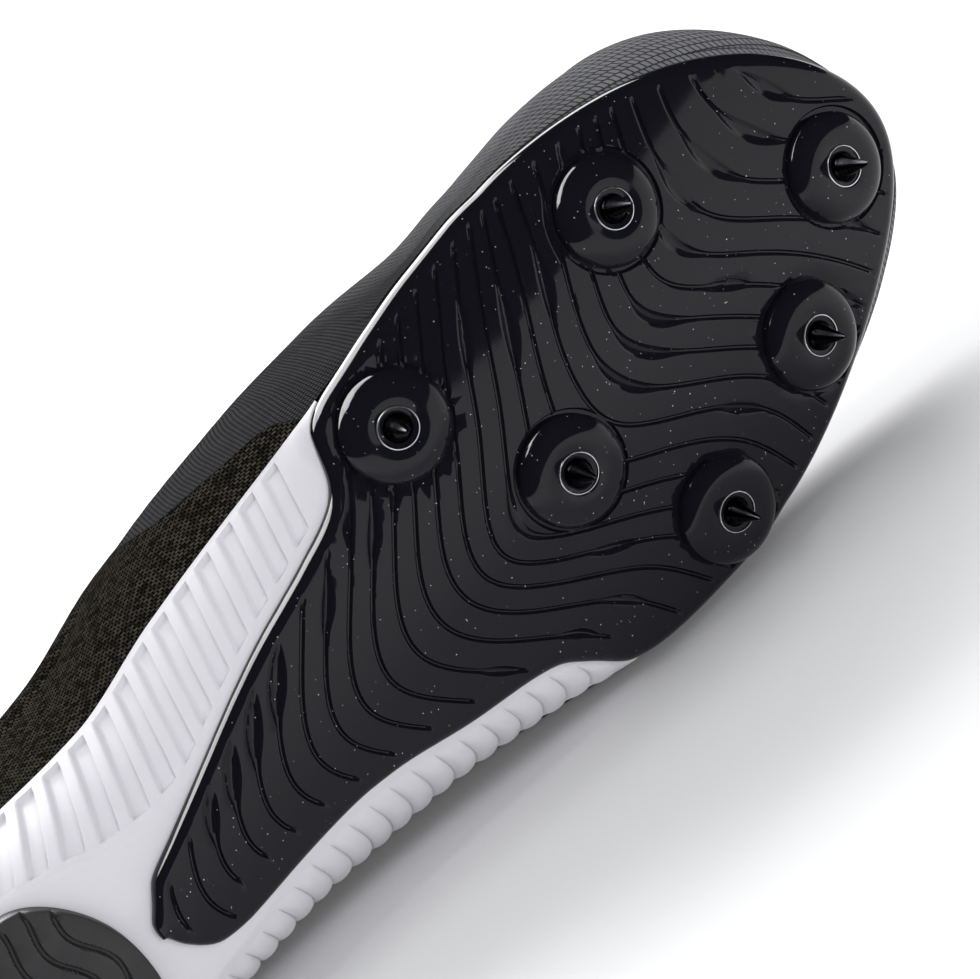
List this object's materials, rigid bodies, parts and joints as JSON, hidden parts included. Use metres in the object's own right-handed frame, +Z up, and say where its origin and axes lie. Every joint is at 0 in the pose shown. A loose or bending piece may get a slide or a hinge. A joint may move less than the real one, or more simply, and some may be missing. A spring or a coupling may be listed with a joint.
{
  "type": "track spike shoe",
  "caption": "Low-cut running spike shoe for the right foot, lying on its side: cone spikes in a curved plate, ribbed foam wedge, mesh upper with toe film, laced throat.",
  "frame": {"origin": "middle of the box around the shoe, on the floor it lies on", "axes": "+X towards the toe, +Y towards the top of the upper, with the spiked sole facing -Y, +Z up, out of the lateral side"},
  "size_m": [0.2878, 0.1124, 0.1053],
  "materials": {
    "plate": "high gloss",
    "foam": "moulded foam skin",
    "heel_rubber": "matte",
    "mesh": "knit",
    "film": "embossed film",
    "lining": "knit",
    "lace": "flat weave",
    "socket": "bright rim",
    "spike": "black coated"
  },
  "bodies": {
    "root": {"plate": "plate", "midsole": "foam", "heel_pad": "heel_rubber", "upper": "mesh", "toe_rand": "film", "heel_counter": "film", "eyestay": "film", "tongue": "lining", "insole": "lining", "lace": "lace", "socket_1": "socket", "socket_2": "socket", "socket_3": "socket", "socket_4": "socket", "socket_5": "socket", "socket_6": "socket", "spike_1": "spike", "spike_2": "spike", "spike_3": "spike", "spike_4": "spike", "spike_5": "spike", "spike_6": "spike"}
  },
  "joints": []
}
